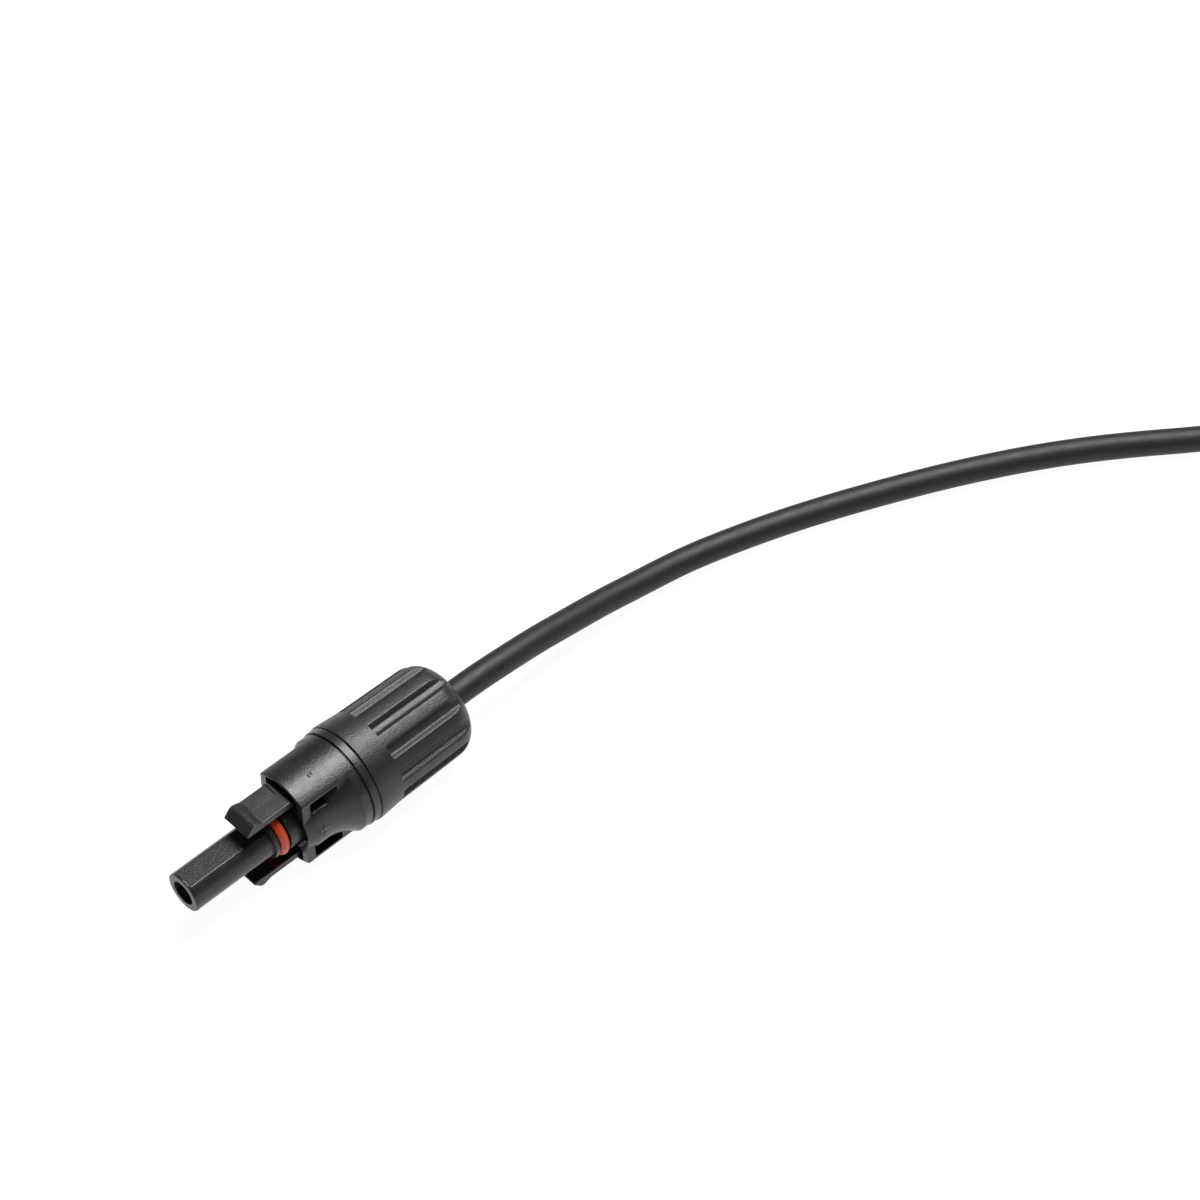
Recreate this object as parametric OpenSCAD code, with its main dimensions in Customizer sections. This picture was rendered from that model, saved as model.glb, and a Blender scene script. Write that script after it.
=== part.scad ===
// Single-pole solar cable connector, socket half, with its own cable lead.
// +X runs along the connector from the nose to the cable, +Z is up. The origin is on
// the connector's axis, at the shoulder where the nose ends. Millimetres.

/* [Nose] */
// Radius of the round nose that the mating sleeve slides over
nose_r = 4.0; // [3.8:0.1:4.2]
// Length of the nose, from its tip to the shoulder
nose_len = 17.8; // [17:0.1:20]
// Height of the keying flat above the axis
nose_flat_z = 3.4; // [3.3:0.1:3.7]
// Radius of the bore that holds the contact
nose_bore_r = 2.85; // [2.8:0.05:2.9]

/* [Collar] */
// Outside radius of the collar
collar_r = 10.0; // [9.9:0.1:10.2]
// Distance from the axis to each side flat
flat_y = 5.8; // [5.7:0.1:6]
// Position of the collar's front face along the axis
collar_x = 5.8; // [5.5:0.1:6]
// Half the width of the slot that each latch arm lies in
slot_half_w = 4.2; // [4:0.1:4.4]

/* [Latch arms] */
// Width of a latch arm
arm_w = 6.5; // [6.2:0.1:7]
// Thickness of a latch arm
arm_t = 1.5; // [1.3:0.1:1.6]
// Distance from the axis to an arm's outer face
arm_z = 8.2; // [8.1:0.1:8.3]
// How far an arm reaches in front of the collar
arm_reach = 10.65; // [10:0.05:11.5]
// Height of the hook above an arm's outer face
hook_h = 0.6; // [0.5:0.1:0.8]

/* [Cap nut] */
// Outside radius at the front of the nut
nut_r = 10.4; // [10.3:0.1:10.6]
// Length of the nut
nut_len = 25.2; // [24:0.2:26]
// Number of grip flutes
flute_count = 12; // [10:1:14]
// Depth of a flute
flute_depth = 0.9; // [0.6:0.1:1]

/* [Cable] */
// Outside diameter of the cable sheath
cable_d = 5.5; // [5.3:0.1:5.6]
// Diameter of the insulated core under the sheath
core_d = 4.1; // [3.9:0.1:4.2]
// Diameter of the stranded conductor
conductor_d = 2.6; // [2.4:0.1:2.6]
// Thickness of the straps that tie the coil
tie_t = 1.2; // [0.8:0.1:1.4]

/* [Hidden] */
$fn = 96;

// lengths along the axis
tip_x = -nose_len;
flat_x = tip_x + 0.5;              // front end of the keying flat
ring_groove_x = [0.9, 3.35];       // O-ring groove in the base of the nose
full_round_x = 16.6;               // where the collar is fully round again
band_groove_x = 18.6;              // thin groove in front of the ring band
nut_x = 20.5;                      // front face of the cap nut
barrel_end_x = 31.8;               // rear end of the threaded barrel
nut_end_x = nut_x + nut_len;
floor_z = -nut_r;                  // the surface that the nut and the coil rest on

// radii
base_r = 5.0;                      // base of the nose, behind the O-ring
shoulder_r = 4.75;                 // flange in front of the O-ring
ring_groove_r = 3.3;
o_ring_section_r = 0.97;
core_front_r = 6.7;                // bulge inside the collar
core_r = 7.5;
flare_r = 9.7;                     // radius of the flare from the bulge to the collar
band_r = 10.2;                     // ring band between the collar and the nut
barrel_r = 8.0;
seal_bore_r = 6.1;
contact_bore_r = 3.5;
edge = 0.2;                        // small chamfer

// latch arm hinge, at the root of the arm
arm_hinge_x = 15.6;
arm_mid_z = arm_z - arm_t / 2;
knuckle_r = 0.9;
knuckle_seat_r = 1.0;
slot_floor_z = 5.6;
slot_roof_z = 8.75;
arm_tip_x = collar_x - arm_reach;

// contact
pin_bore_r = 2.05;
contact_r = 2.7;
contact_front_x = -15.3;
insert_recess_r = 2.3;
insert_x = [-12.3, -4.3];
crimp_end_x = 13;
crimp_r = 2.4;

// cable
cable_r = cable_d / 2;
sheath_start_x = 16;
floor_cable_z = floor_z + cable_r;

// coil of spare cable
coil_pos = [280, -48];
turn_pitch = cable_d + 0.1;
turn_in_r = 24.7;
turn_out_r = turn_in_r + turn_pitch;
turn_mid_r = (turn_in_r + turn_out_r) / 2;
coil_z = floor_cable_z + tie_t;                // centre of the bottom layer
top_layer_z = coil_z + turn_pitch;
third_layer_z = top_layer_z + turn_pitch * sin(60);
entry_angle = -102;                            // where the cable runs onto the coil
third_start = 130;                             // third layer, in degrees past the entry
third_sweep = 253;
tie_w = 4;

// Route of the free cable from the nut to the coil: straight out, down to the
// surface, then in one long curve along it.
cable_route = [
    [45.7, 0, 0], [52, 0, 0], [59.8, -0.1, -0.4], [68.7, 0, -1.5], [77.5, 0.1, -3.1],
    [87.3, 0.1, -4.9], [97.1, -0.5, -6.4], [107.8, -1.8, -7.3], [118.5, -4.4, -7.65],
    [130.2, -8.3, -7.65], [141.9, -12.9, -7.65], [153.5, -18, -7.65], [164.2, -23.1, -7.65],
    [173.9, -28.2, -7.65], [183.5, -33.8, -7.65], [193.2, -40.2, -7.65],
    [202.9, -47.4, -7.65], [211.5, -54.2, -7.55], [221, -60.9, -7.35], [232, -66.6, -7.1],
    [244, -70.9, -6.8], [258, -74.3, -6.55], [273.7, -77.64, -6.45]];
tube_sides = 10;
tube_phase = 18;                   // puts one flat side of the tube on the surface

// ---- helpers -------------------------------------------------------------

// turns a shape drawn along Z so that it lies along X
module along_x() rotate([0, 90, 0]) children();

// solid of revolution about X: points are [radius, x]
module turned(points) along_x() rotate_extrude() polygon(points);

module disc_x(x, r, len) translate([x, 0, 0]) along_x() cylinder(h = len, r = r);

// points of an arc about c, from angle a to angle b
function arc(c, r, a, b, n = 8) =
    [for (i = [0 : n]) let (t = a + (b - a) * i / n) [c[0] + r * cos(t), c[1] + r * sin(t)]];

function unit(v) = v / norm(v);

// a corner of a closed outline, replaced by an arc of radius r
function round_corner(a, p, b, r, n) =
    let (u = unit(a - p), v = unit(b - p),
         half = acos(u * v) / 2,
         c = p + unit(u + v) * r / sin(half),
         s = c - p,
         side = sign(u[0] * v[1] - u[1] * v[0]),
         mid = atan2(-s[1], -s[0]))
    [for (i = [0 : n]) let (t = mid + side * (90 - half) * (1 - 2 * i / n))
        c + r * [cos(t), sin(t)]];

function rounded(points, r, n = 5) =
    [for (i = [0 : len(points) - 1])
        each round_corner(points[(i + len(points) - 1) % len(points)], points[i],
                          points[(i + 1) % len(points)], r, n)];

// ---- housing -------------------------------------------------------------

module housing_core() {
    tip_round = 0.45;
    lip_r = 2.5;                       // mouth of the nose
    lip_end_x = contact_front_x - 0.3;
    tip_r = nose_r - 0.17;             // the plain rim in front of the keying flat
    recess_x = collar_x + 2.5;
    recess_r = 6.2;
    bulge_x = collar_x + 2.3;
    flare_x = 10.1;
    flare_angle = asin((full_round_x - flare_x) / flare_r);
    groove = 0.15;
    turned(concat(
        [[lip_r + edge / 2, tip_x]],
        arc([tip_r - tip_round, tip_x + tip_round], tip_round, -90, 0),
        [[tip_r, flat_x], [nose_r, flat_x], [nose_r, 0], [shoulder_r, 0], [shoulder_r, ring_groove_x[0]],
         [ring_groove_r, ring_groove_x[0]], [ring_groove_r, ring_groove_x[1]],
         [base_r, ring_groove_x[1]], [base_r, recess_x], [recess_r, recess_x],
         [recess_r, collar_x], [core_front_r, collar_x], [core_r, bulge_x]],
        arc([core_r + flare_r, flare_x], flare_r, 180, 180 - flare_angle, 10),
        [[collar_r, band_groove_x - groove], [collar_r - 0.3, band_groove_x - groove],
         [collar_r - 0.3, band_groove_x + groove], [band_r, band_groove_x + groove],
         [band_r, nut_x - edge], [band_r - edge, nut_x - 0.05],
         [barrel_r, nut_x - 0.05], [barrel_r, barrel_end_x - 0.5],
         [barrel_r - 0.5, barrel_end_x], [seal_bore_r, barrel_end_x],
         [seal_bore_r, 17.5], [contact_bore_r, 17.5], [contact_bore_r, 4],
         [nose_bore_r, 4], [nose_bore_r, lip_end_x], [lip_r, lip_end_x],
         [lip_r, tip_x + edge / 2]]));
}

// curved top and bottom plates of the collar, joined by the two flat sides
module housing_cage() {
    intersection() {
        turned([[6.3, collar_x], [collar_r - 0.3, collar_x], [collar_r, collar_x + 0.3],
                [collar_r, full_round_x], [7.2, full_round_x], [6.3, 14]]);
        translate([0, -flat_y, -12]) cube([30, 2 * flat_y, 24]);
    }
}

// an opening from side to side, above and below the axis
module cross_opening(outline)
    for (s = [0, 1])
        mirror([0, 0, s])
            translate([0, 9, 0]) rotate([90, 0, 0]) linear_extrude(18)
                polygon(rounded(outline, 0.4));

// windows in the flat sides, beside the latch arms
module side_windows() cross_opening([[7.65, 4.4], [14.1, 4.4], [14.1, 7.6], [7.65, 7.6]]);

// hollow that runs through under each latch arm
module arm_hollow() cross_opening([[7.65, 4.8], [11.6, 4.8], [13.8, 7.6], [7.65, 7.6]]);

// pocket for one latch arm, on the +Z side, with a high mouth in front
module arm_slot() {
    translate([collar_x - 1, 0, 0]) rotate([90, 0, 90]) linear_extrude(3.7)
        polygon([[-slot_half_w, slot_floor_z], [slot_half_w, slot_floor_z],
                 [slot_half_w, 8.72], [2.2, 9.38], [-2.2, 9.38], [-slot_half_w, 8.72]]);
    translate([collar_x - 1, -slot_half_w, slot_floor_z])
        cube([arm_hinge_x - collar_x + 1, 2 * slot_half_w, slot_roof_z - slot_floor_z]);
    translate([arm_hinge_x, slot_half_w, arm_mid_z]) rotate([90, 0, 0])
        cylinder(h = 2 * slot_half_w, r = knuckle_seat_r);
}

// raised plus sign on the bulge, which marks the pole
module pole_mark() {
    size = 2.4;
    bar = 0.5;
    raised = 0.2;
    mark_x = 9.1;
    mark_z = 0.6;
    intersection() {
        turned([[core_r - 0.5, mark_x - size], [core_r + raised, mark_x - size],
                [core_r + raised, mark_x + size], [core_r - 0.5, mark_x + size]]);
        translate([mark_x, -core_r, mark_z]) union() {
            cube([size, 3, bar], center = true);
            cube([bar, 3, size], center = true);
        }
    }
}

module housing() color([0.05, 0.05, 0.05]) difference() {
    union() {
        housing_core();
        difference() {
            housing_cage();
            side_windows();
        }
        pole_mark();
    }
    arm_slot();
    mirror([0, 0, 1]) arm_slot();
    arm_hollow();
    // keying flat on top of the nose
    translate([flat_x, -nose_r, nose_flat_z]) cube([-flat_x, 2 * nose_r, 2]);
}

// ---- latch arms ----------------------------------------------------------

module latch_arm() {
    low = arm_z - arm_t;
    ridge_x = arm_tip_x + 2.15;
    step_x = collar_x - 0.4;           // where the arm thins, inside its slot
    side = [[arm_tip_x + 0.35, low], [arm_tip_x, low + 0.35], [arm_tip_x + 0.15, low + 0.8],
            [ridge_x - 0.9, arm_z + hook_h - 0.3], [ridge_x - 0.4, arm_z + hook_h - 0.05],
            [ridge_x, arm_z + hook_h], [ridge_x + 0.5, arm_z + hook_h - 0.08],
            [ridge_x + 1.15, arm_z + 0.2], [ridge_x + 1.7, arm_z], [step_x, arm_z],
            [step_x, arm_z - 0.4], [arm_hinge_x, arm_z - 0.4], [arm_hinge_x, low]];
    translate([0, arm_w / 2, 0]) rotate([90, 0, 0]) linear_extrude(arm_w) polygon(side);
    translate([arm_hinge_x, arm_w / 2, arm_mid_z]) rotate([90, 0, 0])
        cylinder(h = arm_w, r = knuckle_r);
}

module latch_arm_upper() color([0.06, 0.06, 0.06]) latch_arm();

module latch_arm_lower() color([0.06, 0.06, 0.06]) mirror([0, 0, 1]) latch_arm();

// ---- seal and contact ----------------------------------------------------

module nose_o_ring() color([0.85, 0.22, 0.08]) {
    x = (ring_groove_x[0] + ring_groove_x[1]) / 2;
    translate([x, 0, 0]) along_x() rotate_extrude()
        translate([ring_groove_r + o_ring_section_r, 0]) circle(r = o_ring_section_r, $fn = 32);
}

module contact_socket() color([0.75, 0.74, 0.7])
    turned([[0, -1], [pin_bore_r, -1], [pin_bore_r, insert_x[1]],
            [insert_recess_r, insert_x[1]], [insert_recess_r, insert_x[0]],
            [pin_bore_r, insert_x[0]], [pin_bore_r, contact_front_x + edge],
            [pin_bore_r + edge, contact_front_x], [contact_r - edge, contact_front_x],
            [contact_r, contact_front_x + edge], [contact_r, 4.05], [3.35, 4.2], [3.35, 5],
            [crimp_r, 5], [crimp_r, crimp_end_x], [conductor_d / 2 + 0.05, crimp_end_x],
            [conductor_d / 2 + 0.05, 5.6], [0, 5.6]]);

// louvred spring strip inside the contact, which grips the pin
module contact_spring_insert() color([0.8, 0.62, 0.3]) {
    louvres = 12;
    gap = 0.25;
    x0 = insert_x[0] + 0.1;
    x1 = insert_x[1] - 0.1;
    difference() {
        turned([[pin_bore_r, x0], [insert_recess_r - 0.03, x0],
                [insert_recess_r - 0.03, x1], [pin_bore_r, x1]]);
        for (i = [0 : louvres - 1])
            rotate([i * 360 / louvres, 0, 0])
                translate([x0 + 1.5, -gap / 2, 0]) cube([x1 - x0 - 3, gap, 3]);
    }
}

// split steel clip that keeps the contact in the housing
module contact_retainer_clip() color([0.7, 0.7, 0.72]) difference() {
    turned([[crimp_r + 0.05, 5.1], [crimp_r + 0.35, 5.1], [crimp_r + 0.35, 7],
            [contact_bore_r - 0.15, 9.4], [contact_bore_r - 0.4, 9.5],
            [crimp_r + 0.05, 7.2]]);
    translate([5, -0.4, 0]) cube([5, 0.8, 4]);
}

module crimped_conductor() color([0.75, 0.75, 0.76])
    disc_x(5.7, conductor_d / 2, sheath_start_x - 5.7);

module core_insulation() color([0.12, 0.12, 0.12])
    turned([[conductor_d / 2 + 0.02, crimp_end_x + 0.3], [core_d / 2, crimp_end_x + 0.3],
            [core_d / 2, sheath_start_x], [conductor_d / 2 + 0.02, sheath_start_x]]);

module sheath_in_gland() color([0.1, 0.1, 0.1])
    disc_x(sheath_start_x, cable_r, nut_end_x - sheath_start_x);

// ---- gland ---------------------------------------------------------------

// ribbed rubber sleeve between the cable and the housing
module cable_seal() color([0.2, 0.2, 0.2]) {
    x0 = 17.7;
    ribs = 3;
    pitch = 2.9;
    rib_r = seal_bore_r - 0.15;
    root_r = rib_r - 0.6;
    turned(concat(
        [[cable_r + 0.05, x0]],
        [for (i = [0 : ribs - 1]) let (x = x0 + i * pitch)
            each [[root_r, x], [rib_r, x + 0.7], [rib_r, x + pitch - 0.9],
                  [root_r, x + pitch - 0.2]]],
        [[root_r, x0 + ribs * pitch], [cable_r + 0.05, x0 + ribs * pitch]]));
}

// collet with spring fingers, which the nut squeezes onto the cable
module clamp_cage() color([0.62, 0.62, 0.6]) {
    bore_r = cable_r + 0.25;
    fingers = 8;
    slit = 0.8;
    finger_x = 33.4;
    end_x = 40.2;
    difference() {
        turned([[bore_r, 26.8], [seal_bore_r - 0.5, 26.8], [seal_bore_r - 0.25, 27.1],
                [seal_bore_r - 0.25, barrel_end_x + 0.4], [7.6, barrel_end_x + 0.4],
                [7.6, finger_x], [6.5, finger_x], [4.9, end_x - 0.4], [4.6, end_x],
                [bore_r, end_x]]);
        for (i = [0 : fingers - 1])
            rotate([i * 360 / fingers, 0, 0])
                translate([finger_x + 0.6, -slit / 2, 0]) cube([end_x, slit, 8]);
    }
}

module cap_nut() color([0.08, 0.08, 0.08]) {
    thread_r = barrel_r + 0.3;
    flute_x = nut_x + 5.6;
    round_r = 4.7;
    round_x = nut_end_x - round_r;
    waist_r = 10.05;                   // where the flutes start
    tail_r = 9.85;
    flute_turn = -2.5;
    hole_r = 3.2;
    seat_x = 34;
    seat_end_x = 40.8;
    taper = atan((waist_r - tail_r) / (round_x - flute_x));
    difference() {
        turned(concat(
            [[thread_r, nut_x + 0.5], [thread_r + 0.5, nut_x], [nut_r - edge, nut_x],
             [nut_r, nut_x + edge], [nut_r, nut_x + 1], [waist_r, flute_x]],
            arc([tail_r - round_r, round_x], round_r, 0, 90, 8),
            [[hole_r + 0.5, nut_end_x], [hole_r, nut_end_x - 0.5], [hole_r, seat_end_x],
             [5.25, seat_end_x], [7, seat_x], [thread_r, seat_x]]));
        for (i = [0 : flute_count - 1])
            rotate([(i + 0.5) * 360 / flute_count + flute_turn, 0, 0])
                translate([flute_x, 0, waist_r - flute_depth]) rotate([0, taper, 0])
                    rotate([90, 0, 90]) linear_extrude(nut_len)
                        polygon([[-0.6, 0], [0.6, 0], [1.9, 1.3], [-1.9, 1.3]]);
    }
}

// ---- free cable ----------------------------------------------------------

// ring of points around route point i, square to the route there
function tube_ring(i, last) =
    let (a = cable_route[max(i - 1, 0)], b = cable_route[min(i + 1, last)],
         t = unit(b - a), side = unit(cross([0, 0, 1], t)), up = cross(t, side))
    [for (k = [0 : tube_sides - 1]) let (w = 360 * k / tube_sides + tube_phase)
        cable_route[i] + cable_r * (cos(w) * side + sin(w) * up)];

module cable_run() color([0.1, 0.1, 0.1]) {
    last = len(cable_route) - 1;
    n = tube_sides;
    points = [for (i = [0 : last]) each tube_ring(i, last)];
    walls = [for (i = [0 : last - 1], k = [0 : n - 1])
        [i * n + k, i * n + (k + 1) % n, (i + 1) * n + (k + 1) % n, (i + 1) * n + k]];
    first_cap = [for (k = [n - 1 : -1 : 0]) k];
    last_cap = [for (k = [0 : n - 1]) last * n + k];
    polyhedron(points = points, faces = concat(walls, [first_cap, last_cap]), convexity = 4);
}

// one solid for the turns: two layers of two, and part of a third layer on top
module cable_coil() color([0.1, 0.1, 0.1]) translate([coil_pos[0], coil_pos[1], 0]) {
    in_r = turn_in_r - cable_r;
    out_r = turn_out_r + cable_r;
    low = coil_z - cable_r;
    high = top_layer_z + cable_r;
    rotate_extrude()
        polygon(rounded([[in_r, low], [out_r, low], [out_r, high], [in_r, high]], cable_r - 0.05));
    rotate([0, 0, entry_angle + third_start]) rotate_extrude(angle = third_sweep)
        polygon(concat([[turn_mid_r + cable_r, top_layer_z]],
            arc([turn_mid_r, third_layer_z], cable_r, 0, 180),
            [[turn_mid_r - cable_r, top_layer_z]]));
}

// strap round the bundle, in the plane through the coil's axis at an angle
module coil_tie(angle) {
    c = 0.15;
    in_r = turn_in_r - cable_r - c;
    out_r = turn_out_r + cable_r + c;
    low = coil_z - cable_r;
    shoulder_z = top_layer_z + 0.9;
    top_z = third_layer_z + cable_r + c;
    inner = [[in_r, low], [out_r, low], [out_r, shoulder_z],
             [turn_mid_r + 2.9, top_z], [turn_mid_r - 2.9, top_z], [in_r, shoulder_z]];
    outer = [[in_r - tie_t, low - tie_t], [out_r + tie_t, low - tie_t],
             [out_r + tie_t, shoulder_z + 0.3], [turn_mid_r + 3.6, top_z + tie_t],
             [turn_mid_r - 3.6, top_z + tie_t], [in_r - tie_t, shoulder_z + 0.3]];
    head = [2.4, 5.5, 5];
    translate([coil_pos[0], coil_pos[1], 0]) rotate([0, 0, entry_angle + angle]) {
        translate([0, tie_w / 2, 0]) rotate([90, 0, 0]) linear_extrude(tie_w) difference() {
            polygon(rounded(outer, 1.6));
            polygon(rounded(inner, 0.8));
        }
        translate([out_r + tie_t - 0.2, -head[1] / 2, coil_z + 0.4]) cube(head);
    }
}

module coil_tie_near() color([0.04, 0.04, 0.04]) coil_tie(215);

module coil_tie_far() color([0.04, 0.04, 0.04]) coil_tie(6);

// the stripped end of the cable lies along the top of the coil
module at_tail() {
    angle = entry_angle + third_start + third_sweep;
    translate([coil_pos[0], coil_pos[1], 0]) rotate([0, 0, angle])
        translate([turn_mid_r, 0.1, third_layer_z]) rotate([-90, 0, 0]) children();
}

tail_insulation_len = 6;
tail_strands_len = 9;

module tail_insulation() color([0.12, 0.12, 0.12])
    at_tail() cylinder(h = tail_insulation_len, r = core_d / 2);

module tail_strands() color([0.8, 0.8, 0.8])
    at_tail() translate([0, 0, tail_insulation_len])
        cylinder(h = tail_strands_len, r = conductor_d / 2);

housing();
latch_arm_upper();
latch_arm_lower();
nose_o_ring();
contact_socket();
contact_spring_insert();
contact_retainer_clip();
crimped_conductor();
core_insulation();
sheath_in_gland();
cable_seal();
clamp_cage();
cap_nut();
cable_run();
cable_coil();
coil_tie_near();
coil_tie_far();
tail_insulation();
tail_strands();
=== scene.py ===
"""Solar cable connector, socket half: its looks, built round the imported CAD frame.

Shapes are worked out in millimetres, in the CAD's frame: +X runs from the nose to the
cable, +Z is up, and the origin is on the axis at the nose's shoulder. Angles about the
axis start at +Z and turn towards +Y.
"""

import math

import bmesh
import bpy
import numpy as np
from mathutils import Matrix, Vector


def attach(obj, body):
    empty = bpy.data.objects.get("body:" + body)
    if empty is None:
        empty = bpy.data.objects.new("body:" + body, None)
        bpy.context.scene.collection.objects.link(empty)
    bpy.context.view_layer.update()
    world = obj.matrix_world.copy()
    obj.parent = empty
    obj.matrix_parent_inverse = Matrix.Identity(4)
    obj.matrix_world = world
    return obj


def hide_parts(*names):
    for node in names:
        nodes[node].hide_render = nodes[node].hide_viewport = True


MM = 0.001
SMOOTH = math.radians(29)  # edges that turn more than this are real edges

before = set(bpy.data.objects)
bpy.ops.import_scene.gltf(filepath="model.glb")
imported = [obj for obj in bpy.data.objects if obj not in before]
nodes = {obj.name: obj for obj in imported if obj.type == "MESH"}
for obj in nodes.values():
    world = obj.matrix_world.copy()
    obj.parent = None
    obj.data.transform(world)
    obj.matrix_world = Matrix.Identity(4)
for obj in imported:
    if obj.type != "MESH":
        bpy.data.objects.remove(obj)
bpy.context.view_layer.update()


# ---- camera, floor and lights --------------------------------------------------------

FLOOR_Z = -10.4
FLOOR_REACH = 9000  # how far the floor runs each way, past every view's edge

# the camera looks down by ELEVATION, along a line on the ground turned GROUND_ANGLE off +Y
GROUND_ANGLE, ELEVATION, DISTANCE = math.radians(44.75), math.radians(47.9), 491.0
LOOK_AT = Vector((68.9, -17.9, 24.3))
LENS, SENSOR = 80.4, 36


def make_camera():
    look = Vector(
        (
            math.cos(ELEVATION) * math.sin(GROUND_ANGLE),
            math.cos(ELEVATION) * math.cos(GROUND_ANGLE),
            -math.sin(ELEVATION),
        )
    )
    right = Vector((math.cos(GROUND_ANGLE), -math.sin(GROUND_ANGLE), 0))
    up = right.cross(look)
    data = bpy.data.cameras.new("camera")
    data.lens, data.sensor_width = LENS, SENSOR
    data.clip_start, data.clip_end = 0.01, 20
    camera = bpy.data.objects.new("camera", data)
    turn = Matrix((right, up, -look)).transposed().to_4x4()
    camera.matrix_world = Matrix.Translation((LOOK_AT - look * DISTANCE) * MM) @ turn
    bpy.context.scene.collection.objects.link(camera)
    bpy.context.scene.camera = camera


def softbox(name, place, aim, size, radiance, colour):
    """Area light at place, facing aim (millimetres), with that radiance over its face."""
    data = bpy.data.lights.new(name, "AREA")
    data.shape = "RECTANGLE"
    data.size, data.size_y = size[0] * MM, size[1] * MM
    data.energy = radiance * math.pi * data.size * data.size_y
    data.color = colour
    light = bpy.data.objects.new(name, data)
    light.location = Vector(place) * MM
    direction = Vector(aim) - Vector(place)
    light.rotation_euler = direction.to_track_quat("-Z", "Y").to_euler()
    bpy.context.scene.collection.objects.link(light)


def make_stage():
    """The dim studio, its pale glowing floor and the one large softbox overhead."""
    world = bpy.data.worlds.new("studio")
    bpy.context.scene.world = world
    world.use_nodes = True
    background = world.node_tree.nodes["Background"]
    background.inputs["Color"].default_value = (0.95, 0.97, 1.0, 1)
    background.inputs["Strength"].default_value = 0.08

    mesh = bpy.data.meshes.new("floor")
    signs = [(-1, -1), (1, -1), (1, 1), (-1, 1)]
    corners = [(x * FLOOR_REACH * MM, y * FLOOR_REACH * MM, FLOOR_Z * MM) for x, y in signs]
    mesh.from_pydata(corners, [], [(0, 1, 2, 3)])
    floor = bpy.data.objects.new("floor", mesh)
    bpy.context.scene.collection.objects.link(floor)
    material = bpy.data.materials.new("floor")
    material.use_nodes = True
    shader = material.node_tree.nodes["Principled BSDF"]
    shader.inputs["Base Color"].default_value = (0.10, 0.10, 0.10, 1)
    shader.inputs["Roughness"].default_value = 1.0
    shader.inputs["Specular IOR Level"].default_value = 0.0
    shader.inputs["Emission Color"].default_value = (1, 1, 1, 1)
    shader.inputs["Emission Strength"].default_value = 0.96
    mesh.materials.append(material)

    softbox("overhead", (270, 20, 600), (60, 0, 0), (360, 460), 14.0, (1.0, 0.99, 0.97))
    bpy.context.scene.view_settings.view_transform = "Standard"
    bpy.context.scene.view_settings.look = "None"


# ---- materials -------------------------------------------------------------------------


class Shader:
    """A node material under construction: Principled, fed by nodes in the part's own space."""

    def __init__(self, name, uv=False):
        self.material = bpy.data.materials.new(name)
        self.material.use_nodes = True
        self.tree = self.material.node_tree
        self.principled = self.tree.nodes["Principled BSDF"]
        coordinates = self.add("ShaderNodeTexCoord")
        self.space = coordinates.outputs["UV" if uv else "Object"]

    def add(self, kind, **settings):
        node = self.tree.nodes.new(kind)
        for key, value in settings.items():
            setattr(node, key, value)
        return node

    def link(self, output, target):
        self.tree.links.new(output, target)

    def set(self, **values):
        for key, value in values.items():
            self.principled.inputs[key.replace("_", " ")].default_value = value

    def stretched(self, scale):
        """The part's own space, scaled along each axis."""
        node = self.add("ShaderNodeMapping")
        node.inputs["Scale"].default_value = scale
        self.link(self.space, node.inputs["Vector"])
        return node.outputs["Vector"]

    def noise(self, size_mm, detail=2.0, rough=0.5, vector=None):
        """Noise with features of about that size."""
        node = self.add("ShaderNodeTexNoise")
        node.inputs["Scale"].default_value = 1 / (size_mm * MM)
        node.inputs["Detail"].default_value = detail
        node.inputs["Roughness"].default_value = rough
        self.link(vector or self.space, node.inputs["Vector"])
        return node.outputs["Fac"]

    def spread(self, value, low, high):
        """A noise's usual range, 0.3 to 0.7, spread from low to high."""
        node = self.add("ShaderNodeMapRange")
        node.inputs["From Min"].default_value = 0.3
        node.inputs["From Max"].default_value = 0.7
        node.inputs["To Min"].default_value = low
        node.inputs["To Max"].default_value = high
        self.link(value, node.inputs["Value"])
        return node.outputs["Result"]

    def math(self, operation, a, b=None, c=None):
        node = self.add("ShaderNodeMath", operation=operation)
        for socket, value in zip(node.inputs, (a, b, c)):
            if value is None:
                continue
            if isinstance(value, (int, float)):
                socket.default_value = value
            else:
                self.link(value, socket)
        return node.outputs[0]

    def blend(self, factor, a, b):
        """Colour a where factor is 0, b where it is 1. Each is a colour or an output."""
        node = self.add("ShaderNodeMix", data_type="RGBA")
        self.link(factor, node.inputs["Factor"])
        for name, value in (("A", a), ("B", b)):
            socket = [s for s in node.inputs if s.name == name and s.type == "RGBA"][0]
            if isinstance(value, tuple):
                socket.default_value = (*value, 1)
            else:
                self.link(value, socket)
        return [s for s in node.outputs if s.type == "RGBA"][0]

    def colour(self, output):
        self.link(output, self.principled.inputs["Base Color"])

    def roughness(self, output):
        self.link(output, self.principled.inputs["Roughness"])

    def bump(self, height, depth_mm, below=None):
        """Bump of that depth, on top of the bump below."""
        node = self.add("ShaderNodeBump")
        node.inputs["Strength"].default_value = 1.0
        node.inputs["Distance"].default_value = depth_mm * MM
        self.link(height, node.inputs["Height"])
        if below:
            self.link(below, node.inputs["Normal"])
        self.link(node.outputs["Normal"], self.principled.inputs["Normal"])
        return node.outputs["Normal"]


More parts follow.
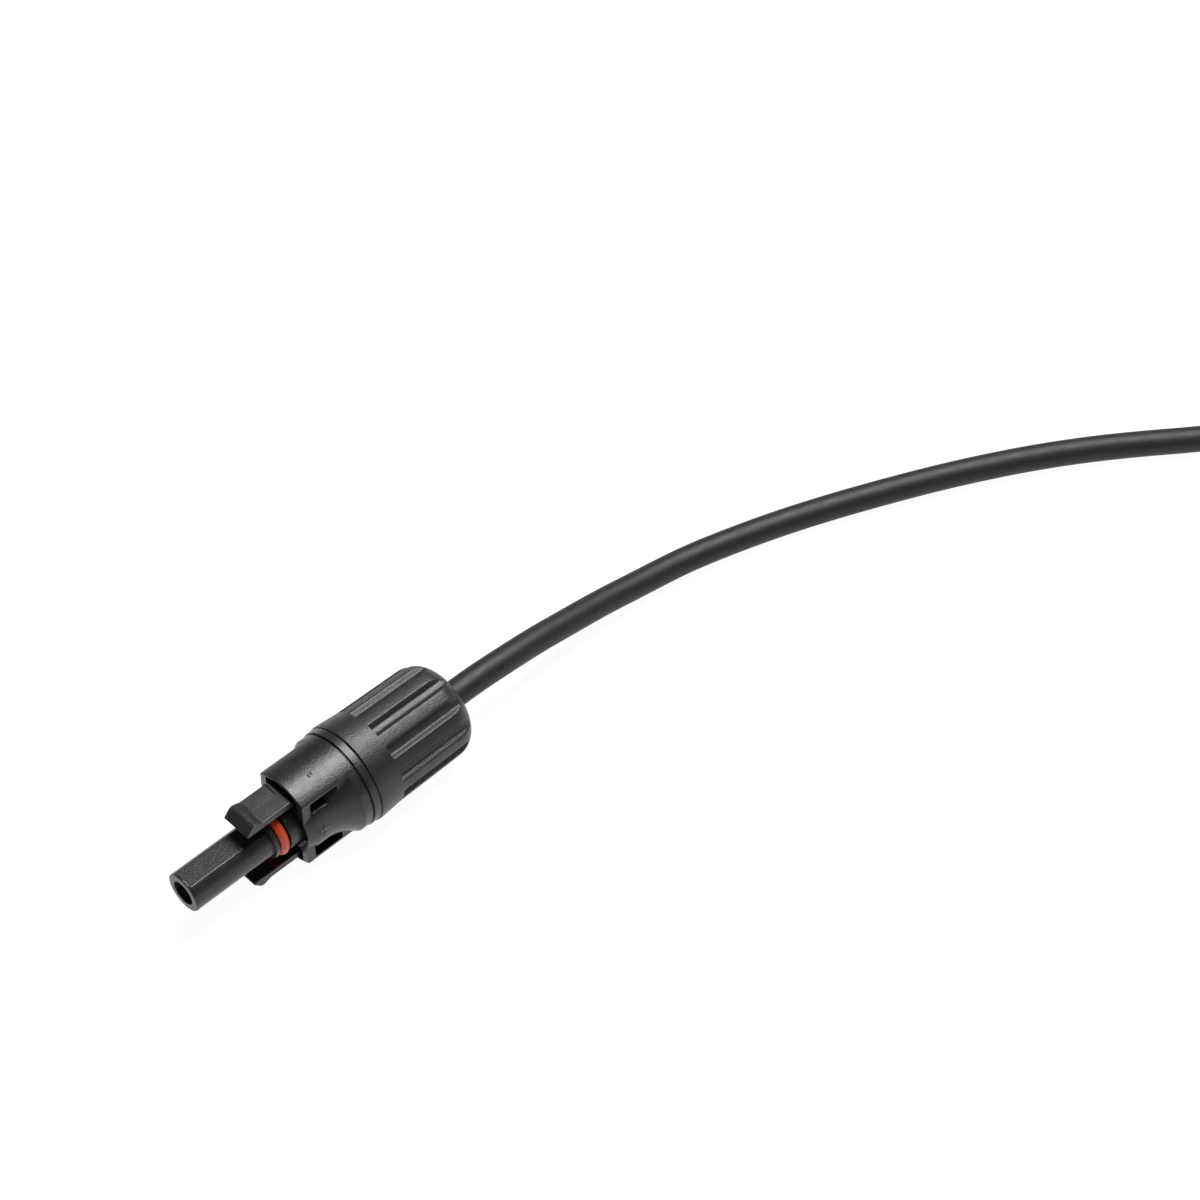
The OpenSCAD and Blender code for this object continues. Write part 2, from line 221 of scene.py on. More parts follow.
def moulded(name, dark, light, rough, grain_mm, depth_mm):
    """Moulded plastic: fine spark-eroded grain, faint flow marks and handling shine."""
    s = Shader(name)
    s.set(Specular_IOR_Level=0.5)
    flow = s.noise(3.5, 3, 0.55, s.stretched((0.35, 1, 1)))
    s.colour(s.blend(s.spread(flow, 0, 1), dark, light))
    wear = s.noise(1.6, 4, 0.6)
    s.roughness(s.spread(wear, rough - 0.05, rough + 0.05))
    soft = s.bump(s.noise(1.0, 2, 0.5), 0.012)
    s.bump(s.noise(grain_mm, 3, 0.65), depth_mm, below=soft)
    return s.material


def o_ring_rubber():
    """Orange-red silicone, slightly glossy and a little translucent."""
    s = Shader("silicone_orange")
    s.set(Specular_IOR_Level=0.5, Subsurface_Weight=0.06, Subsurface_Scale=0.0006)
    s.principled.inputs["Subsurface Radius"].default_value = (1.0, 0.35, 0.15)
    s.colour(s.blend(s.spread(s.noise(0.9, 3), 0, 1), (0.54, 0.050, 0.011), (0.64, 0.070, 0.018)))
    s.roughness(s.spread(s.noise(0.5, 3), 0.34, 0.48))
    s.bump(s.noise(0.22, 2), 0.006)
    return s.material


MARK_TURN = 0.62  # where the row of dashes lies, in turns round the cable
AROUND = 0.0173  # metres round the sheath, for each turn of its UV
DASH_PITCH, DASH_SHARE = 0.004, 0.55
GROUP_PITCH, GROUP_SHARE = 0.028, 0.70  # five dashes, then a gap


def sheath_rubber(marked):
    """Extruded cable sheath: fine grain drawn out along the cable, and, where marked, a
    row of plain pale dashes. UV is turns round the cable and metres along it."""
    s = Shader("sheath_black", uv=marked)
    s.set(Specular_IOR_Level=0.4)
    if marked:
        drawn = s.stretched((AROUND, 0.35, 1))
        fine = s.noise(0.16, 3, 0.6, s.stretched((AROUND, 1, 1)))
    else:
        drawn = s.stretched((0.35, 1, 1))
        fine = s.noise(0.16, 3, 0.6)
    streaks = s.noise(0.7, 3, 0.6, drawn)
    body = s.blend(s.spread(streaks, 0, 1), (0.009, 0.009, 0.0088), (0.013, 0.013, 0.0125))
    if marked:
        split = s.add("ShaderNodeSeparateXYZ")
        s.link(s.space, split.inputs[0])
        round_it, along = split.outputs["X"], split.outputs["Y"]
        dash_at = s.math("FRACT", s.math("DIVIDE", along, DASH_PITCH))
        dash = s.math("LESS_THAN", dash_at, DASH_SHARE)
        group_at = s.math("FRACT", s.math("DIVIDE", along, GROUP_PITCH))
        group = s.math("LESS_THAN", group_at, GROUP_SHARE)
        lane = s.math("COMPARE", round_it, MARK_TURN, 0.011)
        worn = s.math("GREATER_THAN", s.noise(0.35, 2, 0.5, s.stretched((AROUND, 1, 1))), 0.40)
        mark = s.math("MULTIPLY", s.math("MULTIPLY", dash, group), s.math("MULTIPLY", lane, worn))
        s.colour(s.blend(mark, body, (0.20, 0.21, 0.22)))
    else:
        s.colour(body)
    s.roughness(s.spread(s.noise(1.2, 3, 0.5, drawn), 0.48, 0.56))
    soft = s.bump(streaks, 0.012)
    s.bump(fine, 0.016, below=soft)
    return s.material


def metal(name, dark, light, rough, line_mm, depth_mm, stretch=(1, 1, 1)):
    """Plated or bare metal with fine tool lines."""
    s = Shader(name)
    s.set(Metallic=1.0)
    lines = s.noise(line_mm, 3, 0.6, s.stretched(stretch))
    s.colour(s.blend(s.spread(lines, 0, 1), dark, light))
    s.roughness(s.spread(s.noise(0.8, 3), rough - 0.07, rough + 0.07))
    s.bump(lines, depth_mm)
    return s.material


def rubber(name, dark, light, rough):
    """Matt insulation or seal rubber."""
    s = Shader(name)
    s.set(Specular_IOR_Level=0.4)
    s.colour(s.blend(s.spread(s.noise(1.0, 3), 0, 1), dark, light))
    s.roughness(s.spread(s.noise(0.6, 3), rough - 0.06, rough + 0.06))
    s.bump(s.noise(0.25, 3), 0.01)
    return s.material


# ---- mesh helpers ------------------------------------------------------------------------


def fillet(outline, step=23.0):
    """Closed outline of (u, v, radius) points, each corner rounded by its radius."""
    out = []
    n = len(outline)
    for i, (pu, pv, radius) in enumerate(outline):
        p = np.array([pu, pv])
        a = np.array(outline[i - 1][:2]) - p
        b = np.array(outline[(i + 1) % n][:2]) - p
        la, lb = np.linalg.norm(a), np.linalg.norm(b)
        a, b = a / la, b / lb
        inside = math.acos(max(-1.0, min(1.0, float(a @ b))))
        turn = math.degrees(math.pi - inside)
        if radius <= 0 or turn < 1:
            out.append((pu, pv))
            continue
        reach = min(radius / math.tan(inside / 2), 0.48 * min(la, lb))
        radius = reach * math.tan(inside / 2)
        middle = (a + b) / np.linalg.norm(a + b)
        centre = p + middle * radius / math.sin(inside / 2)
        start, end = p + a * reach - centre, p + b * reach - centre
        steps = max(1, math.ceil(turn / step))
        side = 1 if start[0] * end[1] - start[1] * end[0] > 0 else -1
        t0 = math.atan2(start[1], start[0])
        for k in range(steps + 1):
            t = t0 + side * math.radians(turn) * k / steps
            out.append((centre[0] + radius * math.cos(t), centre[1] + radius * math.sin(t)))
    return out


def arc(centre, radius, first, last, steps):
    """Points (u, v) of an arc, between two angles in degrees."""
    return [
        (centre[0] + radius * math.cos(t), centre[1] + radius * math.sin(t))
        for t in np.radians(np.linspace(first, last, steps + 1))
    ]


def make_object(name, points, faces):
    """An object from points in millimetres, its normals pointing outwards."""
    mesh = bpy.data.meshes.new(name)
    mesh.from_pydata((np.asarray(points, float) * MM).tolist(), [], [tuple(f) for f in faces])
    obj = bpy.data.objects.new(name, mesh)
    bpy.context.scene.collection.objects.link(obj)
    tidy(obj)
    return obj


def tidy(obj, flat_angle=None):
    """Welds equal points, dissolves faces flatter than flat_angle, turns normals outwards."""
    bm = bmesh.new()
    bm.from_mesh(obj.data)
    bmesh.ops.remove_doubles(bm, verts=bm.verts, dist=2e-7)
    if flat_angle:
        bmesh.ops.dissolve_degenerate(bm, edges=bm.edges, dist=1e-6)
        bmesh.ops.dissolve_limit(
            bm, angle_limit=math.radians(flat_angle), verts=bm.verts, edges=bm.edges
        )
    bmesh.ops.recalc_face_normals(bm, faces=bm.faces)
    bm.to_mesh(obj.data)
    bm.free()


def ring_faces(columns, rows):
    """Quads of a surface that closes on itself both ways, points ordered column by column."""
    i, j = np.meshgrid(np.arange(columns), np.arange(rows), indexing="ij")
    i2, j2 = (i + 1) % columns, (j + 1) % rows
    quads = np.stack([i * rows + j, i * rows + j2, i2 * rows + j2, i2 * rows + j], -1)
    return quads.reshape(-1, 4).tolist()


def lathe(name, outline, angles, warp=None):
    """Solid of revolution about X. outline is a closed list of (r, x), angles in degrees.
    warp(x, r, angle) gives x, y, z where the section isn't round."""
    a = np.radians(np.asarray(angles, float))[:, None]
    r = np.array([p[0] for p in outline])[None, :]
    x = np.array([p[1] for p in outline])[None, :] + 0 * a
    if warp:
        x, y, z = warp(x, r + 0 * a, a + 0 * x)
    else:
        y, z = r * np.sin(a), r * np.cos(a)
    points = np.stack([x, y, z], -1).reshape(-1, 3)
    return make_object(name, points, ring_faces(len(angles), len(outline)))


def prism(name, outline, low, high, to_space):
    """A closed outline (u, v), drawn out from low to high. to_space(u, v, w) gives x, y, z."""
    n = len(outline)
    points = [to_space(u, v, w) for w in (low, high) for u, v in outline]
    faces = [tuple(range(n)), tuple(range(2 * n - 1, n - 1, -1))]
    faces += [(i, (i + 1) % n, n + (i + 1) % n, n + i) for i in range(n)]
    return make_object(name, points, faces)


def across(side):
    """Where a drawing in the X-Z plane goes, drawn out along Y, on the +Z or -Z side."""
    return lambda u, v, w: (u, w, side * v)


def box(name, low, high):
    corners = [(x, y, z) for x in (low[0], high[0])
               for y in (low[1], high[1]) for z in (low[2], high[2])]
    faces = [(0, 1, 3, 2), (4, 6, 7, 5), (0, 4, 5, 1), (2, 3, 7, 6), (0, 2, 6, 4), (1, 5, 7, 3)]
    return make_object(name, corners, faces)


def bake(obj, *modifiers):
    """Applies modifiers, each (kind, settings), to obj's own mesh."""
    for kind, settings in modifiers:
        m = obj.modifiers.new(kind.lower(), kind)
        for key, value in settings.items():
            setattr(m, key, value)
    depsgraph = bpy.context.evaluated_depsgraph_get()
    mesh = bpy.data.meshes.new_from_object(obj.evaluated_get(depsgraph), depsgraph=depsgraph)
    old = obj.data
    obj.modifiers.clear()
    obj.data = mesh
    bpy.data.meshes.remove(old)


def combine(obj, operation, *tools):
    """Joins obj with tools, or cuts them out of it, or keeps what they share. The tools go."""
    for tool in tools:
        bake(obj, ("BOOLEAN", {"operation": operation, "object": tool, "solver": "MANIFOLD"}))
        mesh = tool.data
        bpy.data.objects.remove(tool)
        bpy.data.meshes.remove(mesh)


def finish_surface(obj, bevel=0.0, flat_angle=None):
    """Rounds the real edges by bevel millimetres, and shades everything else smooth."""
    if flat_angle:
        tidy(obj, flat_angle)
    if bevel:
        bake(
            obj,
            (
                "BEVEL",
                {
                    "width": bevel * MM,
                    "segments": 2,
                    "limit_method": "ANGLE",
                    "angle_limit": SMOOTH,
                    "use_clamp_overlap": False,
                    "miter_outer": "MITER_ARC",
                    "harden_normals": False,
                },
            ),
        )
        tidy(obj)
    obj.data.shade_smooth()
    obj.data.set_sharp_from_angle(angle=math.radians(40) if bevel else SMOOTH)
    bake(obj, ("WEIGHTED_NORMAL", {"keep_sharp": True, "weight": 60}))


def weld_at(obj, places, reach):
    """Draws the points within reach of each place into it, all in millimetres."""
    bm = bmesh.new()
    bm.from_mesh(obj.data)
    for place in places:
        point = Vector(place) * MM
        near = [v for v in bm.verts if (v.co - point).length < reach * MM]
        bmesh.ops.pointmerge(bm, verts=near, merge_co=point)
    bmesh.ops.dissolve_degenerate(bm, dist=0.001 * MM, edges=bm.edges)
    bm.to_mesh(obj.data)
    bm.free()


def dress(obj, body, material, slot, *replaced):
    """Gives obj its material and body, and hides the CAD nodes that it replaces. slot is not used.
    """
    obj.data.materials.clear()
    obj.data.materials.append(material)
    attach(obj, body)
    if replaced:
        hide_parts(*replaced)
    return obj


# ---- cable: route, coil, ties and bare end --------------------------------------------------

CABLE_R = 2.75
SHEATH_LENGTH = 950.0

# the free cable's own route, as in the CAD
ROUTE = [
    (45.7, 0, 0), (52, 0, 0), (59.8, -0.1, -0.4), (68.7, 0, -1.5), (77.5, 0.1, -3.1),
    (87.3, 0.1, -4.9), (97.1, -0.5, -6.4), (107.8, -1.8, -7.3), (118.5, -4.4, -7.65),
    (130.2, -8.3, -7.65), (141.9, -12.9, -7.65), (153.5, -18, -7.65), (164.2, -23.1, -7.65),
    (173.9, -28.2, -7.65), (183.5, -33.8, -7.65), (193.2, -40.2, -7.65), (202.9, -47.4, -7.65),
    (211.5, -54.2, -7.55), (221, -60.9, -7.35), (232, -66.6, -7.1), (244, -70.9, -6.8),
    (258, -74.3, -6.55),
]

COIL_CENTRE = (280.0, -48.0)
TURN_PITCH = 5.6
TURN_IN, TURN_MID, TURN_OUT = 24.7, 27.5, 30.3
LAYER_1 = -6.45
LAYER_2 = LAYER_1 + TURN_PITCH
LAYER_3 = LAYER_2 + TURN_PITCH * math.sin(math.radians(60))
ENTRY_ANGLE = -102.0


def ease(value, start, end):
    """0 before start, 1 after end, and a smooth step between them."""
    t = min(max((value - start) / (end - start), 0.0), 1.0)
    return t * t * (3 - 2 * t)


def winding(turned):
    """Radius and height of the cable after that many degrees of winding."""
    width = TURN_OUT - TURN_IN
    if turned < 360:
        return TURN_OUT - width * ease(turned, 240, 360), LAYER_1
    if turned < 700:
        return TURN_IN, LAYER_1 + TURN_PITCH * ease(turned, 560, 660)
    if turned < 1150:
        return TURN_IN + width * ease(turned, 840, 960), LAYER_2
    # climbs over the turn beside it, into the groove between the two on top
    a = math.radians(120) * ease(turned, 1150, 1290)
    beside = TURN_IN + width * ease(turned - 360, 840, 960)
    return beside + TURN_PITCH * math.cos(a), LAYER_2 + TURN_PITCH * math.sin(a)


def coil_point(turned):
    r, z = winding(turned)
    a = math.radians(ENTRY_ANGLE + turned)
    return (COIL_CENTRE[0] + r * math.cos(a), COIL_CENTRE[1] + r * math.sin(a), z)


def smooth_line(points, spacing):
    """A natural cubic spline through the points, sampled at about that spacing."""
    p = np.asarray(points, float)
    h = np.linalg.norm(np.diff(p, axis=0), axis=1)
    t = np.concatenate([[0], np.cumsum(h)])
    n = len(p)
    system, right = np.eye(n), np.zeros((n, 3))
    for i in range(1, n - 1):
        system[i, i - 1], system[i, i + 1] = h[i - 1], h[i]
        system[i, i] = 2 * (h[i - 1] + h[i])
        right[i] = 6 * ((p[i + 1] - p[i]) / h[i] - (p[i] - p[i - 1]) / h[i - 1])
    bend = np.linalg.solve(system, right)
    s = np.linspace(0, t[-1], int(t[-1] / spacing) + 1)
    k = np.clip(np.searchsorted(t, s, "right") - 1, 0, n - 2)
    a, b = (t[k + 1] - s)[:, None], (s - t[k])[:, None]
    hk = h[k][:, None]
    return (
        bend[k] * a**3 / (6 * hk)
        + bend[k + 1] * b**3 / (6 * hk)
        + (p[k] / hk - bend[k] * hk / 6) * a
        + (p[k + 1] / hk - bend[k + 1] * hk / 6) * b
    )


def cut_to(line, length, spacing):
    """The line from its start, cut to that length and spaced evenly."""
    steps = np.linalg.norm(np.diff(line, axis=0), axis=1)
    s = np.concatenate([[0], np.cumsum(steps)])
    wanted = np.linspace(0, length, int(round(length / spacing)) + 1)
    return np.stack([np.interp(wanted, s, line[:, k]) for k in range(3)], 1)


def frames_along(line):
    """Unit tangent, side and up vectors at each point, with no twist between them."""
    tangent = np.gradient(line, axis=0)
    tangent /= np.linalg.norm(tangent, axis=1)[:, None]
    side = np.cross([0, 0, 1], tangent)
    side /= np.linalg.norm(side, axis=1)[:, None]
    return tangent, side, np.cross(tangent, side)


def tube(name, line, radius, sides):
    """A closed tube along a line. Its UV is turns round it and metres along it."""
    _, side, up = frames_along(line)
    w = np.linspace(0, 2 * np.pi, sides, endpoint=False)
    around = (
        np.cos(w)[None, :, None] * side[:, None] + np.sin(w)[None, :, None] * up[:, None]
    )
    points = (line[:, None] + radius * around).reshape(-1, 3)
    n = len(line)
    faces = []
    for i in range(n - 1):
        for k in range(sides):
            here, ahead, k2 = i * sides, (i + 1) * sides, (k + 1) % sides
            faces.append((here + k, here + k2, ahead + k2, ahead + k))
    faces += [tuple(range(sides - 1, -1, -1)), tuple((n - 1) * sides + k for k in range(sides))]
    mesh = bpy.data.meshes.new(name)
    mesh.from_pydata((points * MM).tolist(), [], faces)
    step = np.linalg.norm(np.diff(line, axis=0), axis=1)
    along = np.concatenate([[0], np.cumsum(step)]) * MM
    uv = mesh.uv_layers.new(name="UVMap")
    values = []
    for i in range(n - 1):
        for k in range(sides):
            u0, u1 = k / sides, (k + 1) / sides
            values += [(u0, along[i]), (u1, along[i]), (u1, along[i + 1]), (u0, along[i + 1])]
    for end in (0, n - 1):
        values += [(0.25, along[end])] * sides
    uv.data.foreach_set("uv", np.array(values, np.float32).ravel())
    mesh.shade_smooth()
    mesh.set_sharp_from_angle(angle=math.radians(50))
    obj = bpy.data.objects.new(name, mesh)
    bpy.context.scene.collection.objects.link(obj)
    return obj


def cable_line():
    """The cable's centre line: its free run, then its turns, cut to length."""
    coil = [coil_point(t) for t in np.arange(0, 1560, 6)]
    line = smooth_line(ROUTE + coil, 0.5)
    return cut_to(line, SHEATH_LENGTH, 1.5)


def coil_tie(name, angle, material, node):
    """Strap with rounded edges round the bundle, its ratchet head and its cut tail."""
    a = math.radians(ENTRY_ANGLE + angle)
    thick, width, clear = 1.2, 4.0, 0.15
    in_r, out_r = TURN_IN - CABLE_R - clear, TURN_OUT + CABLE_R + clear
    low, shoulder = LAYER_1 - CABLE_R, LAYER_2 + 0.9
    top = LAYER_3 + CABLE_R + clear

    def to_space(r, z, w):
        return (
            COIL_CENTRE[0] + r * math.cos(a) - w * math.sin(a),
            COIL_CENTRE[1] + r * math.sin(a) + w * math.cos(a),
            z,
        )

    inner = fillet(
        [(in_r, low, 0.8), (out_r, low, 0.8), (out_r, shoulder, 0.8),
         (TURN_MID + 2.9, top, 0.8), (TURN_MID - 2.9, top, 0.8), (in_r, shoulder, 0.8)], 15)
    outer = fillet(
        [(in_r - thick, low - thick, 1.6), (out_r + thick, low - thick, 1.6),
         (out_r + thick, shoulder + 0.3, 1.6), (TURN_MID + 3.6, top + thick, 1.6),
         (TURN_MID - 3.6, top + thick, 1.6), (in_r - thick, shoulder + 0.3, 1.6)], 15)
    m = min(len(inner), len(outer))
    inner, outer = inner[:m], outer[:m]
    points = [to_space(r, z, w) for w in (-width / 2, width / 2) for r, z in inner + outer]
    faces = []
    for i in range(m):
        j = (i + 1) % m
        faces += [
            (i, j, m + j, m + i), (2 * m + i, 3 * m + i, 3 * m + j, 2 * m + j),
            (i, 2 * m + i, 2 * m + j, j), (m + i, m + j, 3 * m + j, 3 * m + i),
        ]
    strap = make_object(name, points, faces)
    base_r, base_z = out_r + thick - 0.2, LAYER_1 + 0.4

    def upright(piece, near, far, foot_near, foot_far, top, half, rounds):
        """A block on the strap's outer side: its reach out, its two feet and its top."""
        corners = [(near, foot_near, rounds[0]), (far, foot_far, rounds[1]),
                   (far, top, rounds[1]), (near, top, rounds[0])]
        outline = fillet([(base_r + r, base_z + z, rounding) for r, z, rounding in corners])
        return prism(piece, outline, -half, half, to_space)

    head = upright("tie_head", 0, 2.4, 0, 0, 5, 2.75, (0.3, 0.5))
    slot = upright("tie_slot", 0.55, 1.75, -1, -1, 6, 2.1, (0, 0))
    combine(head, "DIFFERENCE", slot)
    tail = upright("tie_tail", 0.6, 1.7, -0.6, -0.4, 6.2, 2.0, (0.1, 0.1))
    combine(strap, "UNION", head, tail)
    finish_surface(strap, 0.15)
    return dress(strap, "connector", material, "tie_plastic", node)


def make_cable(materials):
    """The lead with its ties, and its stripped end of insulation and twisted strands."""
    line = cable_line()
    cable = tube("cable_lead", line, CABLE_R, 24)
    dress(cable, "connector", materials["sheath"], "sheath_rubber", "cable_run", "cable_coil")
    near = coil_tie("cable_tie_near", 215, materials["tie"], "coil_tie_near")
    far = coil_tie("cable_tie_far", 6, materials["tie"], "coil_tie_far")

    end, forward = line[-1], line[-1] - line[-2]
    forward /= np.linalg.norm(forward)
    bare = end + forward * 6.0
    side = np.cross([0, 0, 1], forward)
    side /= np.linalg.norm(side)
    up = np.cross(forward, side)
    core = tube("bare_core", np.array([end - forward * 0.5, end + forward * 3, bare]), 2.05, 32)
    finish_surface(core, 0.2)
    dress(core, "connector", materials["core"], "core_plastic", "tail_insulation")

    wires = []
    for ring, count in ((0, 1), (1, 6), (2, 12)):
        for k in range(count):
            steps = np.linspace(0, 1, 19)
            spin = np.radians(360 * k / count + 15 * ring + 150 * steps)
            r = ring * 0.52 * (1 + 0.03 * np.sin(7 * k) * steps)
            length = 9.5 + 0.15 * math.sin(5.1 * k + ring)
            wire = (
                bare - forward * 0.5
                + forward * (steps * length)[:, None]
                + side * (r * np.cos(spin))[:, None]
                + up * (r * np.sin(spin))[:, None]
            )
            wires.append(wire)
    strands = join([tube(f"wire_{i}", w, 0.255, 10) for i, w in enumerate(wires)], "bare_strands")
    dress(strands, "connector", materials["conductor"], "conductor_metal", "tail_strands")


def join(objects, name):
    """One object from several, which go."""
    bm = bmesh.new()
    for obj in objects:
        bm.from_mesh(obj.data)
        mesh = obj.data
        bpy.data.objects.remove(obj)
        bpy.data.meshes.remove(mesh)
    mesh = bpy.data.meshes.new(name)
    bm.to_mesh(mesh)
    bm.free()
    obj = bpy.data.objects.new(name, mesh)
    bpy.context.scene.collection.objects.link(obj)
    return obj


# ---- housing ---------------------------------------------------------------------------------

TIP_X = -17.8
FLAT_X = -17.3
FLAT_Z = 3.4
NOSE_R = 4.0
COLLAR_R, BAND_R = 10.0, 10.2
COLLAR_X = 5.8
FLAT_Y = 5.8
ROUND_X = 16.6  # where the collar is fully round again
NUT_X = 20.5
EJECTOR = (11.2, -1.9)  # place of the ejector mark along and across the upper plate
THREAD_PITCH, THREAD_RISE = 1.5, 0.3
BARREL_R = 7.9
LATCH_PIVOT = (15.6, 7.45)
SLOT_HALF = 4.2
SLOT_FLOOR, SLOT_ROOF = 5.6, 8.75
FLAT_EDGE = math.degrees(math.acos(FLAT_Z / NOSE_R))


def column_angles():
    """Angles of the housing's columns, with one at each edge of the nose's flat."""
    edges = [FLAT_EDGE, 360 - FLAT_EDGE]
    plain = [a for a in np.arange(0, 360, 3.0) if min(abs(a - e) for e in edges) > 1.2]
    return sorted(plain + edges)


def housing_shape(x, r, a):
    """The keying flat on the nose, and the thread on the barrel."""
    thread = (x > 21.4) & (x < 31.2) & (np.abs(r - BARREL_R) < 0.05)
    r = np.where(thread, BARREL_R + THREAD_RISE * np.cos(2 * np.pi * x / THREAD_PITCH + a), r)
    y, z = r * np.sin(a), r * np.cos(a)
    flat = (x > FLAT_X - 1e-6) & (x < 1e-6) & (r > 3.95) & (r < 4.05) & (z > FLAT_Z)
    return x, y, np.where(flat, FLAT_Z, z)


def make_housing(material):
    """Nose, shoulder, collar, ring band and threaded barrel in one piece, then its openings."""
    flare = [
        (17.2 - 9.7 * math.cos(t), 10.1 + 9.7 * math.sin(t), 0)
        for t in np.radians(np.linspace(0, 42.1, 9))
    ][1:-1]
    thread_rows = [(BARREL_R, x, 0) for x in np.arange(21.1, 31.4, THREAD_PITCH / 8)]
    nose_rows = [(NOSE_R, x, 0) for x in np.linspace(FLAT_X, 0, 9)]
    outline = (
        [(2.5, TIP_X, 0.1), (3.98, TIP_X, 0.42), (3.98, FLAT_X - 0.02, 0)]
        + nose_rows
        + [
            (4.75, 0, 0.18), (4.75, 0.9, 0.1), (3.3, 0.9, 0.1), (3.3, 3.35, 0.1),
            (5.0, 3.35, 0.22), (5.0, 8.3, 0.2), (6.2, 8.3, 0.2), (6.2, COLLAR_X, 0.12),
            (6.7, COLLAR_X, 0.15), (7.5, 8.1, 0.6), (7.5, 10.1, 0),
        ]
        + flare
        + [
            (COLLAR_R, ROUND_X, 0.45), (COLLAR_R, 18.38, 0.08), (9.7, 18.44, 0.04),
            (9.7, 18.76, 0.04), (BAND_R, 18.8, 0.08), (BAND_R, NUT_X - 0.05, 0.22),
            (BARREL_R, NUT_X - 0.05, 0.1),
        ]
        + thread_rows
        + [
            (BARREL_R, 31.4, 0), (7.4, 31.8, 0.1), (6.1, 31.8, 0.1), (6.1, 17.5, 0.1),
            (3.5, 17.5, 0.1), (3.5, 4, 0.05), (2.85, 4, 0.05), (2.85, -15.6, 0.05),
            (2.5, -15.6, 0.05),
        ]
    )
    angles = column_angles()
    housing = lathe("socket_housing", fillet(outline), angles, housing_shape)

    cage = lathe(
        "cage",
        fillet([(6.3, COLLAR_X, 0.05), (COLLAR_R, COLLAR_X, 0.3), (COLLAR_R, ROUND_X + 0.5, 0),
                (7.2, ROUND_X + 0.5, 0), (6.3, 14, 0)]),
        angles,
    )
    combine(cage, "INTERSECT", box("slab", (0, -FLAT_Y, -12), (30, FLAT_Y, 12)))
    # windows from side to side, just inside the upper and lower plates
    for side in (1, -1):
        opening = [(7.65, 4.4, 0.4), (14.1, 4.4, 0.4), (14.1, 7.6, 0.4), (7.65, 7.6, 0.4)]
        window = prism("window", fillet(opening, 18), -8, 8, across(side))
        combine(cage, "DIFFERENCE", window)
    combine(housing, "UNION", cage)
    # hollow that runs through under each latch arm
    for side in (1, -1):
        opening = [(7.65, 4.8, 0.4), (11.6, 4.8, 0.4), (13.8, 7.6, 0.4), (7.65, 7.6, 0.4)]
        hollow = prism("hollow", fillet(opening, 18), -9, 9, across(side))
        combine(housing, "DIFFERENCE", hollow)

    # raised plus sign on the bulge, on the -Y side
    mark_x, mark_z, mark_r = 9.1, 0.6, 7.68
    for half_x, half_z in ((1.2, 0.25), (0.25, 1.2)):
        low, high = mark_z - half_z, mark_z + half_z
        outer = [(-math.sqrt(mark_r**2 - z * z), z) for z in np.linspace(low, high, 9)]
        section = outer + [(-6.9, high), (-6.9, low)]
        bar = prism("bar", section, mark_x - half_x, mark_x + half_x, lambda u, v, w: (w, u, v))
        combine(housing, "UNION", bar)

    # pocket of each latch arm: round seat at its root, and a high mouth in front
    front, back = 4.8, 15.55
    seat = [p for p in arc(LATCH_PIVOT, 1.0, 131, -131, 14) if p[0] > 15.63]
    pocket = [(front, SLOT_FLOOR), (front, SLOT_ROOF), (back, SLOT_ROOF), (15.62, 8.449), *seat,
              (15.62, 6.451), (back, SLOT_FLOOR)]
    roof = [(y, math.sqrt(9.58**2 - y * y)) for y in np.linspace(SLOT_HALF, -SLOT_HALF, 17)]
    entrance = [(-SLOT_HALF, SLOT_FLOOR), (SLOT_HALF, SLOT_FLOOR), *roof]
    for side in (1, -1):
        slot = prism("slot", pocket, -SLOT_HALF, SLOT_HALF, across(side))
        mouth = prism("mouth", entrance, front, 8.5, lambda u, v, w, s=side: (w, u, s * v))
        combine(housing, "DIFFERENCE", slot, mouth)

    # ring left by an ejector pin, on the upper plate
    eject = lathe("eject", arc((0.42, 0), 0.013, 0, 360, 8)[:-1], np.arange(0, 360, 15))
    tilt = math.asin(EJECTOR[1] / COLLAR_R)
    on_plate = Vector((EJECTOR[0], EJECTOR[1], math.sqrt(COLLAR_R**2 - EJECTOR[1] ** 2)))
    eject.data.transform(
        Matrix.Translation(on_plate * MM)
        @ Matrix.Rotation(-tilt, 4, "X")
        @ Matrix.Rotation(math.radians(90), 4, "Y")
    )
    combine(housing, "DIFFERENCE", eject)
    finish_surface(housing, 0.1, flat_angle=0.2)
    # beside each slot the hollow's slope runs out to a point, where the rounded edges meet
    points = [(13.08, 4.23 * side_y, 6.69 * side_z) for side_y in (1, -1) for side_z in (1, -1)]
    weld_at(housing, points, 0.2)
    dress(housing, "connector", material, "housing_plastic", "housing")


# ---- latch arms --------------------------------------------------------------------------------


ARM_HALF = 3.25


